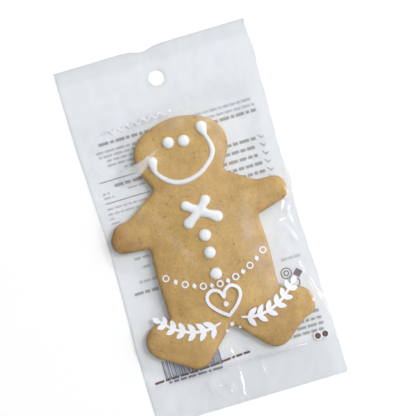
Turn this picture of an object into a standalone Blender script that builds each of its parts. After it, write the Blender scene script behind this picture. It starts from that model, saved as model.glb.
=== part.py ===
"""A gingerbread man biscuit sealed in a clear film bag, lying on its back.

The bag is one closed solid. Its film lies tight over the biscuit, so the biscuit's outline and its
piped icing show as relief on the top, between a flat header with a hang hole and a flat bottom seal.
Sizes are in millimetres and MM turns them into metres. +Z is up, +Y points to the header, and the
origin is on the surface that the bag lies on, under its middle.
"""

import math

import bmesh
import bpy
import numpy as np
from mathutils.geometry import delaunay_2d_cdt

MM = 0.001
TINY = 1e-9

# The bag, as it lies flat.
BAG_WIDTH = 99.0
BAG_LENGTH = 184.0
SEAL_THICKNESS = 0.8  # the sealed plies with their slight waves
HEADER_LENGTH = 26.0
BOTTOM_SEAL_LENGTH = 18.5
TOP_DIP = 1.8  # how far the header's cut edge dips, where the back seam puckers it
TOP_DIP_X = -4.0
TOP_DIP_WIDTH = 5.0
SIDE_WAIST = 1.5  # how far the contents draw each side in
WAIST_REACH = 62.0  # and how far up and down that reaches
HOLE_RADIUS = 4.0
HOLE_X = -0.7
HOLE_BELOW_TOP = 16.3
HOLE_SIDES = 32

# The biscuit, flat on the back film.
BISCUIT_THICKNESS = 7.0
EDGE_ROUNDING = 2.6
UNDER_FILM = 0.3  # the height of the biscuit's underside
ICING_HEIGHT = 1.9
TALL_BEAD = 2.2  # half the width from which a bead of icing reaches its full height
BEAD_SQUARENESS = 2.5  # 2 is a round dome, and more is flatter on top

# The film over it.
FILM_CLEARANCE = 0.25
CLING = 0.10  # how strongly the film is drawn down between its rests, per millimetre
GRID = 0.5
RELAX_SWEEPS = 300
OVER_RELAX = 1.9

# The relief's mesh.
EDGE_STEP = 2.5
OUTLINE_STEP = 1.9
RELIEF_RINGS = (-2.6, -1.1, 0.0, 1.4, 3.2, 5.6)  # offsets of the biscuit's outline
ICING_RING_SHARES = (0.0, 0.6, 1.05, 1.6)  # how far from an icing drop's middle, by its radius
RING_POINTS = 10
FIELD_STEP = 4.0
LEAST_GAP = 1.05

# The biscuit's outline is a belt round these arcs, anticlockwise from the right foot's heel:
# centre x, centre y, radius, and 1 where the outline bulges out or -1 where it is drawn in.
OUTLINE_ARCS = (
    (20.7, -61.3, 8.4, 1),  # right heel
    (37.4, -62.7, 3.0, -1),  # dent under the right toe
    (38.6, -54.7, 4.1, 1),  # right toe, lower
    (34.6, -51.8, 8.3, 1),  # right toe, upper
    (30.5, -39.8, 2.5, -1),  # right hip
    (-120.0, -19.8, 148.8, 1),  # right flank
    (30.1, -5.4, 1.8, -1),  # right armpit
    (42.9, 3.0, 2.7, 1),  # right hand, lower
    (39.9, 6.4, 5.9, 1),  # right hand, upper
    (34.3, 19.5, 6.9, -1),  # right wrist
    (20.9, 23.1, 2.4, -1),  # neck, right
    (9.7, 37.3, 14.4, 1),  # right temple
    (1.0, 23.4, 30.7, 1),  # crown
    (-9.2, 37.5, 13.9, 1),  # left temple
    (-20.8, 22.9, 2.3, -1),  # neck, left
    (-37.2, 19.7, 8.9, -1),  # left wrist
    (-37.7, 4.4, 6.4, 1),  # left hand, upper
    (-39.4, 2.1, 6.2, 1),  # left hand, lower
    (-29.4, -6.5, 1.4, -1),  # left armpit
    (120.1, -23.8, 148.8, 1),  # left flank
    (-30.3, -40.3, 2.0, -1),  # left hip
    (-34.3, -51.3, 8.9, 1),  # left toe
    (-20.3, -62.1, 7.4, 1),  # left heel
    (0.3, -55.9, 2.6, -1),  # between the legs
)

# Piped icing as chains of drops: x, y and half the bead's width.
EYES = (((-4.25, 42.5, 3.05),), ((3.3, 41.3, 3.05),))
BUTTONS = (((0.2, -6.4, 3.15),), ((0.0, -15.3, 3.1),), ((-0.1, -26.2, 3.15),))
SMILE = (
    (-14.4, 35.7, 2.6),
    (-14.7, 33.0, 1.8),
    (-14.2, 29.9, 1.2),
    (-11.7, 26.4, 1.3),
    (-8.5, 23.8, 1.35),
    (-4.8, 22.2, 1.35),
    (-1.0, 21.9, 1.3),
    (2.6, 22.4, 1.25),
    (6.6, 23.8, 1.25),
    (10.2, 26.1, 1.2),
    (13.7, 29.3, 1.25),
    (15.5, 32.4, 1.4),
    (15.7, 35.8, 1.3),
    (15.1, 38.7, 1.15),
    (14.3, 41.2, 1.2),
    (13.8, 43.3, 2.0),
    (13.6, 45.7, 2.95),
)
BOW_MIDDLE = (0.8, 5.9, 3.0)
BOW_NECK = 2.25  # half the width between the bow's middle and a lobe
BOW_LOBES = ((-5.0, 10.2, 2.5), (5.2, 10.3, 2.6), (-5.8, 1.4, 2.9), (8.6, 0.9, 3.0))
BOW = tuple(
    (BOW_MIDDLE, ((BOW_MIDDLE[0] + x) / 2, (BOW_MIDDLE[1] + y) / 2, BOW_NECK), (x, y, radius))
    for x, y, radius in BOW_LOBES
)
ICING = (*EYES, *BUTTONS, SMILE, *BOW)


def belt(arcs, step):
    """The closed line that runs tight round the arcs, as points about a step apart."""
    headings = []
    for (ax, ay, ar, side_a), (bx, by, br, side_b) in zip(arcs, arcs[1:] + arcs[:1]):
        across = side_b * br - side_a * ar
        along = math.sqrt((bx - ax) ** 2 + (by - ay) ** 2 - across**2)
        headings.append(math.atan2(by - ay, bx - ax) - math.atan2(across, along))
    points = []
    for i, (x, y, radius, side) in enumerate(arcs):
        turn = side * ((side * (headings[i] - headings[i - 1])) % math.tau)
        pieces = max(1, round(abs(turn) * radius / step))
        for k in range(pieces + 1):
            normal = headings[i - 1] + turn * k / pieces + math.pi / 2
            signed = side * radius
            points.append((x - signed * math.cos(normal), y - signed * math.sin(normal)))
    return evenly(np.array(points), step)


def evenly(points, step):
    """The same closed line with its points an even step apart."""
    closed = np.vstack([points, points[:1]])
    run = np.concatenate([[0.0], np.cumsum(np.hypot(*np.diff(closed, axis=0).T))])
    at = np.linspace(0.0, run[-1], max(8, round(run[-1] / step)), endpoint=False)
    return np.stack([np.interp(at, run, closed[:, k]) for k in (0, 1)], axis=1)


def offset(line, by):
    """A closed anticlockwise line moved outwards by a distance, or inwards if it is negative."""
    along = np.roll(line, -1, axis=0) - np.roll(line, 1, axis=0)
    along /= np.hypot(*along.T)[:, None]
    return line + by * np.stack([along[:, 1], -along[:, 0]], axis=1)


def along_segment(x, y, start, end):
    """Where each point is nearest to a segment, from 0 to 1 along it, and how far away."""
    dx, dy = end[0] - start[0], end[1] - start[1]
    length_2 = max(dx * dx + dy * dy, TINY)
    share = np.clip(((x - start[0]) * dx + (y - start[1]) * dy) / length_2, 0.0, 1.0)
    return share, np.hypot(x - start[0] - share * dx, y - start[1] - share * dy)


def depth_inside(line, x, y):
    """How far each point lies inside a closed line, negative outside it."""
    nearest = np.full(x.shape, np.inf)
    crossings = np.zeros(x.shape, int)
    for start, end in zip(line, np.roll(line, -1, axis=0)):
        (ax, ay), (bx, by) = start, end
        nearest = np.minimum(nearest, along_segment(x, y, start, end)[1])
        if by != ay:
            crossings += ((ay > y) != (by > y)) & (x < ax + (y - ay) * (bx - ax) / (by - ay))
    return np.where(crossings % 2 == 1, nearest, -nearest)


def biscuit_top(depth):
    """The biscuit's height where the edge is this far away, with a round shoulder."""
    in_from_edge = np.clip(depth, 0.0, EDGE_ROUNDING)
    fall = EDGE_ROUNDING - np.sqrt(EDGE_ROUNDING**2 - (EDGE_ROUNDING - in_from_edge) ** 2)
    return np.where(depth > 0.0, UNDER_FILM + BISCUIT_THICKNESS - fall, 0.0)


def dome(share):
    """A bead's height, as a share of its middle's, at a share of the way to its rim."""
    return (1.0 - share**BEAD_SQUARENESS) ** (1.0 / BEAD_SQUARENESS)


def icing_rise(x, y):
    """How far the piped icing stands above the biscuit, as beads with a flattened top."""
    rise = np.zeros(x.shape)
    for chain in ICING:
        ends = zip(chain, chain[1:]) if len(chain) > 1 else [(chain[0], chain[0])]
        for start, end in ends:
            share, away = along_segment(x, y, start, end)
            radius = start[2] + share * (end[2] - start[2])
            height = ICING_HEIGHT * np.minimum(1.0, radius / TALL_BEAD)
            rise = np.maximum(rise, height * dome(np.minimum(away / radius, 1.0)))
    return rise


def film_height(outline):
    """The top film's height on a grid over the bag: a stretched skin that rests on what is inside."""
    xs = np.arange(-BAG_WIDTH / 2, BAG_WIDTH / 2 + GRID / 2, GRID)
    ys = np.arange(-BAG_LENGTH / 2, BAG_LENGTH / 2 + GRID / 2, GRID)
    x, y = np.meshgrid(xs, ys)
    depth = depth_inside(outline, x, y)
    resting = biscuit_top(depth) + np.where(depth > 0.0, icing_rise(x, y), 0.0)
    resting = np.where(depth > 0.0, resting + FILM_CLEARANCE, SEAL_THICKNESS)
    sealed = (
        (np.abs(x) > BAG_WIDTH / 2 - GRID)
        | (y > BAG_LENGTH / 2 - HEADER_LENGTH)
        | (y < -BAG_LENGTH / 2 + BOTTOM_SEAL_LENGTH)
    )
    height = np.maximum(resting, SEAL_THICKNESS)
    row, column = np.indices(x.shape)
    for sweep in range(2 * RELAX_SWEEPS):
        around = sum(np.roll(height, s, axis=a) for s in (1, -1) for a in (0, 1)) / 4.0
        pulled = height + OVER_RELAX * (around - CLING * GRID**2 / 4.0 - height)
        moved = np.where(sealed, SEAL_THICKNESS, np.maximum(pulled, resting))
        height = np.where((row + column) % 2 == sweep % 2, moved, height)
    return xs, ys, height


def height_at(film, points):
    """The film's height at some points, between the four nearest places on its grid."""
    xs, ys, height = film
    across = np.clip((points[:, 0] - xs[0]) / GRID, 0.0, len(xs) - 1.001)
    up = np.clip((points[:, 1] - ys[0]) / GRID, 0.0, len(ys) - 1.001)
    i, j = across.astype(int), up.astype(int)
    s, t = across - i, up - j
    low = height[j, i] * (1 - s) + height[j, i + 1] * s
    high = height[j + 1, i] * (1 - s) + height[j + 1, i + 1] * s
    return low * (1 - t) + high * t


def bag_edge():
    """The bag's outline from above, anticlockwise: the cut edge dips and the sides are drawn in."""
    corners = ((1, -1), (1, 1), (-1, 1), (-1, -1))
    points = []
    for (ax, ay), (bx, by) in zip(corners, corners[1:] + corners[:1]):
        side = math.hypot((bx - ax) * BAG_WIDTH, (by - ay) * BAG_LENGTH) / 2
        pieces = round(side / EDGE_STEP)
        for k in range(pieces):
            share = k / pieces
            points.append((ax + share * (bx - ax), ay + share * (by - ay)))
    across, up = np.array(points).T
    from_waist = np.clip(up * BAG_LENGTH / 2 / WAIST_REACH, -1.0, 1.0)
    x = across * (BAG_WIDTH / 2 - SIDE_WAIST * (1.0 - from_waist**2) ** 2)
    dip = TOP_DIP * np.exp(-(((x - TOP_DIP_X) / TOP_DIP_WIDTH) ** 2))
    return np.stack([x, up * BAG_LENGTH / 2 - np.where(up == 1.0, dip, 0.0)], axis=1)


def relief_points(edge, outline):
    """The points that carry the relief: along the biscuit's edge, round its icing and between."""
    wanted = [offset(outline, by) for by in RELIEF_RINGS]
    for chain in ICING:
        for x, y, radius in chain:
            for share in ICING_RING_SHARES:
                count = RING_POINTS if share else 1
                turn = np.arange(count) * math.tau / count
                ring = np.stack([np.cos(turn), np.sin(turn)], axis=1) * radius * share
                wanted.append(ring + (x, y))
    across = np.arange(-BAG_WIDTH / 2, BAG_WIDTH / 2, FIELD_STEP)
    up = np.arange(-BAG_LENGTH / 2, BAG_LENGTH / 2, FIELD_STEP)
    wanted.append(np.stack(np.meshgrid(across, up), axis=-1).reshape(-1, 2))
    wanted = np.vstack(wanted)
    wanted = wanted[depth_inside(edge, wanted[:, 0], wanted[:, 1]) > LEAST_GAP]
    kept = []
    for point in wanted:
        if not kept or np.min(np.hypot(*(np.array(kept) - point).T)) > LEAST_GAP:
            kept.append(point)
    return np.array(kept)


def film_material():
    """Clear film, slightly blue."""
    material = bpy.data.materials.new("clear_film")
    material.use_nodes = True
    shader = material.node_tree.nodes["Principled BSDF"]
    shader.inputs["Base Color"].default_value = (0.80, 0.83, 0.86, 1.0)
    shader.inputs["Roughness"].default_value = 0.15
    shader.inputs["Metallic"].default_value = 0.0
    return material


def build_bag():
    """The bag as one closed body: the relief on top, a flat underside and a thin wall round it."""
    outline = belt(OUTLINE_ARCS, OUTLINE_STEP)
    edge = bag_edge()
    points = np.vstack([edge, relief_points(edge, outline)])
    rim = list(range(len(edge)))
    flat, _, triangles, _, _, _ = delaunay_2d_cdt([tuple(p) for p in points], [], [rim], 1, 1e-4)
    flat = np.array([tuple(p) for p in flat])
    height = height_at(film_height(outline), flat)
    height[rim] = SEAL_THICKNESS
    made = bmesh.new()
    top = [made.verts.new((x * MM, y * MM, z * MM)) for (x, y), z in zip(flat, height)]
    under = [made.verts.new((x * MM, y * MM, 0.0)) for x, y in flat[rim]]
    for triangle in triangles:
        made.faces.new([top[i] for i in triangle])
    made.faces.new(reversed(under))
    for i in rim:
        after = (i + 1) % len(rim)
        made.faces.new((under[i], under[after], top[after], top[i]))
    bmesh.ops.recalc_face_normals(made, faces=made.faces)
    mesh = bpy.data.meshes.new("bag")
    made.to_mesh(mesh)
    made.free()
    mesh.materials.append(film_material())
    mesh.shade_smooth()
    mesh.set_sharp_from_angle(angle=math.radians(40.0))
    bag = bpy.data.objects.new("bag", mesh)
    bpy.context.scene.collection.objects.link(bag)
    return bag


def punch_hang_hole(bag):
    """Cuts the round hole in the header that the bag hangs from."""
    bpy.ops.mesh.primitive_cylinder_add(
        vertices=HOLE_SIDES,
        radius=HOLE_RADIUS * MM,
        depth=10 * SEAL_THICKNESS * MM,
        location=(HOLE_X * MM, (BAG_LENGTH / 2 - HOLE_BELOW_TOP) * MM, 0.0),
    )
    punch = bpy.context.object
    punch.name = "hang_hole_punch"
    punch.hide_render = True
    punch.display_type = "WIRE"
    cut = bag.modifiers.new("hang_hole", "BOOLEAN")
    cut.operation = "DIFFERENCE"
    cut.solver = "EXACT"
    cut.object = punch


def main():
    for thing in list(bpy.data.objects):
        bpy.data.objects.remove(thing)
    punch_hang_hole(build_bag())


main()
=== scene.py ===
"""A gingerbread man biscuit with piped icing, sealed in a clear printed film bag.

The bag lies on its back. Sizes are in millimetres and MM turns them into metres. +Y points to the
bag's header and the biscuit's head. The front film is a stretched skin that rests on the biscuit and
its icing, with creases pinched into it, and everything printed on it follows its height.
"""

import math

import bmesh
import bpy
import numpy as np
from mathutils.geometry import delaunay_2d_cdt
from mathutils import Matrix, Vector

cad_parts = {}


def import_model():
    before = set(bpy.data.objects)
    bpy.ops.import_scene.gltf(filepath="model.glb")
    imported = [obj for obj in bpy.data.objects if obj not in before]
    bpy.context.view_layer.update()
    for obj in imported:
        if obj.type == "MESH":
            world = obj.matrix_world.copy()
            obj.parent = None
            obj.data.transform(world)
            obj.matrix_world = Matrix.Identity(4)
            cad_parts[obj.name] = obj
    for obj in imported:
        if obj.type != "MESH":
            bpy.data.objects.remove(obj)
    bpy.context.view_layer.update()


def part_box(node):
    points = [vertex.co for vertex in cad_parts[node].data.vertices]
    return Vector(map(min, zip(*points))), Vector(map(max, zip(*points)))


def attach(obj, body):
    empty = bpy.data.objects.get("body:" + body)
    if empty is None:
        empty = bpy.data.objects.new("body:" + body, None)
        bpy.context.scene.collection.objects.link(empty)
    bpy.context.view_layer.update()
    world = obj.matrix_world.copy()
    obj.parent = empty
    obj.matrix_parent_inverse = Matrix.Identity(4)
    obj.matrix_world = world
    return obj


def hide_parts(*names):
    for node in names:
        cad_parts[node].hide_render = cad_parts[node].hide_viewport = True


MM = 0.001
TINY = 1e-9
SEED = 7
SWELL_WAVES = 14  # how many waves a random surface is made of
SWELL_PEAK = 1.6

# The bag, as it lies flat.
TOP_DIP = 1.8  # how far the header's cut edge dips, where the back seam puckers it
TOP_DIP_X = -4.0
TOP_DIP_WIDTH = 5.0
TOP_DIP_FADE = 9.0
SIDE_WAIST = 1.5  # how far the contents draw each side in
WAIST_REACH = 62.0  # and how far up and down that reaches
SIDE_BULGES = ((1.0, 74.5, 5.5), (1.35, 9.5, 8.0), (0.2, -50.0, 9.0))  # right side: size, y, reach
HEADER_LENGTH = 26.0
BOTTOM_SEAL_LENGTH = 19.0
HOLE_RADIUS = 4.0
HOLE_X = -0.7
HOLE_BELOW_TOP = 16.3

# The film's plies, from the surface up.
FILM = 0.06
FIN_SEAL_Z = 0.02
FIN_SEAL_SPAN = (-1.6, 9.4)
BACK_Z = 0.12
BACK_PRINT_Z = 0.20
INK = 0.03
FRONT_REST_Z = 0.42
SEALED_Z = 0.30
FILM_CLEARANCE = 0.16
FILM_GRID = 0.5
FILM_COLUMNS = ((-35.0, 0.50), (33.0, 0.56), (49.5, 0.46))  # up to x, and the mesh's step
FILM_ROWS = ((-71.0, 0.55), (66.0, 0.70), (92.0, 1.3))  # up to y, and the mesh's step
PLAIN_STEP = 2.0
RELAX_SWEEPS = 420
OVER_RELAX = 1.9
STRAIGHT_SHINE = 0.030  # how much each surface of clear film reflects face on
PUFF_OVER_BISCUIT = -0.030
OUTER_SLOPE = 0.50  # the film is too stiff to fall away from the biscuit more steeply
ICING_SLOPE = 0.30  # nor from the icing
STIFF_REACH = 18  # how many grid steps that holds it up for
SIDE_SEAL = 0.8
FILM_SWELLS = ((0.10, 19.0, 11, 1.0), (0.05, 8.0, 12, 0.5))
SEALED_SWELL = 0.6  # how much of them is left where the film is sealed
# A pleat in the front film, down from the eye over the cheek: its outline and how flat it lies.
CHEEK_FOLD = (
    *((-8.2, 42.0), (-14.6, 39.4), (-19.5, 37.6), (-23.1, 36.8), (-30.0, 34.8), (-29.4, 30.0)),
    *((-22.1, 30.9), (-19.3, 32.8), (-17.0, 34.5), (-16.4, 37.0), (-13.7, 37.9)),
)
CHEEK_FOLD_TOP = 9.2
CHEEK_FOLD_START = -15.0
CHEEK_FOLD_SLOPE = 0.20
CHEEK_FOLD_STEP = (-2.2, 0.4)  # its edge's run, from outside the outline to inside it
# Painted reflection: how white the pleat's film is made, standing in for light reflected off its flat
# face.
CHEEK_FOLD_SHEEN = 0.30
CLING_BESIDE_IT = 0.055
TENT = (7.0, -43.0, 14.0, 14.0)  # where the film stands off the biscuit: middle and reaches
TENT_HEIGHT = 2.0

# The biscuit, on the back film.
BISCUIT_UNDERSIDE = 0.28
BISCUIT_MIDDLE = 6.85  # its mean thickness in the middle, which its swells take up to about 7
DOUGH_SWELLS = ((0.16, 26.0, 1, 1.0), (0.06, 7.0, 2, 1.0), (0.025, 2.6, 3, 1.0))
CROWN = 2.0  # how much lower the dough is at its shoulder than in the middle
CROWN_REACH = 6.0
EDGE_ROUNDING = 1.6
# The rings of points down its edge: how far outside the outline, and how far above the underside,
# or None where the ring lies on the upper surface.
EDGE_RINGS = (
    (-0.9, 0.0),
    (-0.35, 0.25),
    (0.0, 0.9),
    (0.12, 2.2),
    (0.05, 3.6),
    (0.0, None),
    (-0.3, None),
    (-0.75, None),
)
OUTLINE_STEP = 0.7
TOP_STEP = 0.75
RIM_GAP = 0.45  # between the last ring and the mesh of the upper surface

# The biscuit's outline is a belt round these arcs, anticlockwise from the right foot's heel:
# centre x, centre y, radius, and 1 where the outline bulges out or -1 where it is drawn in.
OUTLINE_ARCS = (
    (20.7, -61.3, 8.4, 1),  # right heel
    (37.4, -62.7, 3.0, -1),  # dent under the right toe
    (38.6, -54.7, 4.1, 1),  # right toe, lower
    (34.6, -51.8, 8.3, 1),  # right toe, upper
    (30.5, -39.8, 2.5, -1),  # right hip
    (-120.0, -19.8, 148.8, 1),  # right flank
    (30.1, -5.4, 1.8, -1),  # right armpit
    (42.9, 3.0, 2.7, 1),  # right hand, lower
    (39.9, 6.4, 5.9, 1),  # right hand, upper
    (34.3, 19.5, 6.9, -1),  # right wrist
    (20.9, 23.1, 2.4, -1),  # neck, right
    (9.7, 37.3, 14.4, 1),  # right temple
    (1.0, 23.4, 30.7, 1),  # crown
    (-9.2, 37.5, 13.9, 1),  # left temple
    (-20.8, 22.9, 2.3, -1),  # neck, left
    (-37.2, 19.7, 8.9, -1),  # left wrist
    (-37.7, 4.4, 6.4, 1),  # left hand, upper
    (-39.4, 2.1, 6.2, 1),  # left hand, lower
    (-29.4, -6.5, 1.4, -1),  # left armpit
    (120.1, -23.8, 148.8, 1),  # left flank
    (-30.3, -40.3, 2.0, -1),  # left hip
    (-34.3, -51.3, 8.9, 1),  # left toe
    (-20.3, -62.1, 7.4, 1),  # left heel
    (0.3, -55.9, 2.6, -1),  # between the legs
)

# Piped icing as chains of drops: x, y and half the bead's width.
ICING_HEIGHT = 1.9
TALL_BEAD = 2.2
BEAD_SQUARENESS = 2.5  # 2 is a round dome, and more is flatter on top
ICING_SINK = 0.35
DROP_STEP = 0.4  # between the drops that a bead is made of
MELT_GRID = 0.22
SOFTEN_TIMES = 6
EYES = (((-4.25, 42.5, 3.05),), ((3.3, 41.3, 3.05),))
BUTTONS = (((0.2, -6.4, 3.15),), ((0.0, -15.3, 3.1),), ((-0.1, -26.2, 3.15),))
SMILE_LEFT = ((-14.4, 35.7, 2.6), (-14.7, 33.0, 1.8), (-14.2, 29.9, 1.2), (-11.7, 26.4, 1.3))
SMILE_LOW = ((-8.5, 23.8, 1.35), (-4.8, 22.2, 1.35), (-1.0, 21.9, 1.3), (2.6, 22.4, 1.25))
SMILE_RISING = ((6.6, 23.8, 1.25), (10.2, 26.1, 1.2), (13.7, 29.3, 1.25), (15.5, 32.4, 1.4))
SMILE_RIGHT = ((15.7, 35.8, 1.3), (15.1, 38.7, 1.15), (14.3, 41.2, 1.2), (13.8, 43.3, 2.0))
SMILE_END = (13.6, 45.7, 2.95)
SMILE = ((*SMILE_LEFT, *SMILE_LOW, *SMILE_RISING, *SMILE_RIGHT, SMILE_END),)
BOW_MIDDLE = (0.8, 5.9, 3.0)
BOW_NECK = 2.25  # half the width between the bow's middle and a lobe
BOW_LOBES = ((-5.0, 10.2, 2.5), (5.2, 10.3, 2.6), (-5.8, 1.4, 2.9), (8.6, 0.9, 3.0))
BOW = tuple(
    (BOW_MIDDLE, ((BOW_MIDDLE[0] + x) / 2, (BOW_MIDDLE[1] + y) / 2, BOW_NECK), (x, y, radius))
    for x, y, radius in BOW_LOBES
)
ICING = {"icing_eyes": EYES, "icing_smile": SMILE, "icing_bow": BOW, "icing_buttons": BUTTONS}


# ---- plane geometry


def belt(arcs, step):
    """The closed line that runs tight round the arcs."""
    headings = []
    for (ax, ay, ar, side_a), (bx, by, br, side_b) in zip(arcs, arcs[1:] + arcs[:1]):
        across = side_b * br - side_a * ar
        along = math.sqrt((bx - ax) ** 2 + (by - ay) ** 2 - across**2)
        headings.append(math.atan2(by - ay, bx - ax) - math.atan2(across, along))
    points = []
    for i, (x, y, radius, side) in enumerate(arcs):
        turn = side * ((side * (headings[i] - headings[i - 1])) % math.tau)
        pieces = max(1, round(abs(turn) * radius / step))
        for k in range(pieces + 1):
            normal = headings[i - 1] + turn * k / pieces + math.pi / 2
            signed = side * radius
            points.append((x - signed * math.cos(normal), y - signed * math.sin(normal)))
    return evenly(np.array(points), step)


def evenly(points, step):
    """The same closed line with its points an even step apart."""
    closed = np.vstack([points, points[:1]])
    run = np.concatenate([[0.0], np.cumsum(np.hypot(*np.diff(closed, axis=0).T))])
    at = np.linspace(0.0, run[-1], max(8, round(run[-1] / step)), endpoint=False)
    return np.stack([np.interp(at, run, closed[:, k]) for k in (0, 1)], axis=1)


def smooth_line(points, step):
    """A smooth open line through some points of any width."""
    p = np.array(points, float)
    p = np.vstack([2 * p[0] - p[1], p, 2 * p[-1] - p[-2]])
    made = []
    for a, b, c, d in zip(p, p[1:], p[2:], p[3:]):
        pieces = max(1, round(np.hypot(*(c - b)[:2]) / step))
        for t in np.arange(pieces) / pieces:
            bend = (2 * a - 5 * b + 4 * c - d) * t**2 + (3 * b - a - 3 * c + d) * t**3
            made.append(b + ((c - a) * t + bend) / 2)
    return np.array(made + [p[-2]])


def offset(line, by):
    """A closed anticlockwise line moved outwards by a distance."""
    along = np.roll(line, -1, axis=0) - np.roll(line, 1, axis=0)
    along /= np.hypot(*along.T)[:, None]
    return line + by * np.stack([along[:, 1], -along[:, 0]], axis=1)


def along_segment(x, y, start, end):
    """Where each point is nearest to a segment, from 0 to 1 along it, and how far away."""
    dx, dy = end[0] - start[0], end[1] - start[1]
    length_2 = max(dx * dx + dy * dy, TINY)
    share = np.clip(((x - start[0]) * dx + (y - start[1]) * dy) / length_2, 0.0, 1.0)
    return share, np.hypot(x - start[0] - share * dx, y - start[1] - share * dy)


def depth_inside(line, x, y):
    """How far each point lies inside a closed line, negative outside it."""
    nearest = np.full(x.shape, np.inf)
    crossings = np.zeros(x.shape, int)
    for start, end in zip(line, np.roll(line, -1, axis=0)):
        (ax, ay), (bx, by) = start, end
        nearest = np.minimum(nearest, along_segment(x, y, start, end)[1])
        if by != ay:
            crossings += ((ay > y) != (by > y)) & (x < ax + (y - ay) * (bx - ax) / (by - ay))
    return np.where(crossings % 2 == 1, nearest, -nearest)


def blob(x, y, cx, cy, across, up, lean=0.0):
    """How far each point is from a middle, squared, in units of an ellipse's reaches."""
    turn = math.radians(lean)
    dx, dy = x - cx, y - cy
    along = (dx * math.cos(turn) + dy * math.sin(turn)) / across
    return along**2 + ((dy * math.cos(turn) - dx * math.sin(turn)) / up) ** 2


def swell(x, y, scale, seed):
    """A smooth random surface between about -1 and 1, with waves about scale long."""
    draw = np.random.default_rng(SEED * 1000 + seed)
    total = np.zeros(np.shape(x))
    for _ in range(SWELL_WAVES):
        heading = draw.uniform(0.0, math.tau)
        length = scale * draw.uniform(0.7, 1.7)
        phase = draw.uniform(0.0, math.tau)
        along = x * math.cos(heading) + y * math.sin(heading)
        total = total + np.sin(along * math.tau / length + phase)
    return total * math.sqrt(2.0 / SWELL_WAVES) / SWELL_PEAK


def swells(x, y, rows):
    """Random surfaces added up, from rows of height, scale, seed and how much y is squeezed."""
    return sum(height * swell(x, y * squeeze, scale, seed) for height, scale, seed, squeeze in rows)


def fade(value, start, end):
    """From 0 at start to 1 at end, with no corner at either."""
    t = np.clip((value - start) / (end - start), 0.0, 1.0)
    return t * t * (3.0 - 2.0 * t)


# ---- the biscuit's form


def biscuit_height(depth, x, y):
    """The biscuit's uneven upper surface where its edge is this far away."""
    in_from_edge = np.clip(depth, 0.0, EDGE_ROUNDING)
    fall = EDGE_ROUNDING - np.sqrt(EDGE_ROUNDING**2 - (EDGE_ROUNDING - in_from_edge) ** 2)
    crown = CROWN * np.exp(-np.maximum(depth, 0.0) / CROWN_REACH)
    return BISCUIT_UNDERSIDE + BISCUIT_MIDDLE + swells(x, y, DOUGH_SWELLS) - fall - crown


def dome(share):
    """A bead's height, as a share of its middle's, at a share of the way to its rim."""
    return (1.0 - share**BEAD_SQUARENESS) ** (1.0 / BEAD_SQUARENESS)


def icing_rise(chains, x, y):
    """How far the piped icing stands above the biscuit, as half-round beads."""
    rise = np.zeros(x.shape)
    for chain in chains:
        ends = zip(chain, chain[1:]) if len(chain) > 1 else [(chain[0], chain[0])]
        for start, end in ends:
            share, away = along_segment(x, y, start, end)
            radius = start[2] + share * (end[2] - start[2])
            height = ICING_HEIGHT * np.minimum(1.0, radius / TALL_BEAD)
            rise = np.maximum(rise, height * dome(np.minimum(away / radius, 1.0)))
    return rise


# ---- the film's form

CREST_SHARPNESS = 1.12
CREASE_STEP = 0.8
CREASE_DIGITS = 2  # a crease's height is rounded to 0.01 mm
CREASE_FADING = 0.6  # below 1, a crease keeps its height nearly to its ends

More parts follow.
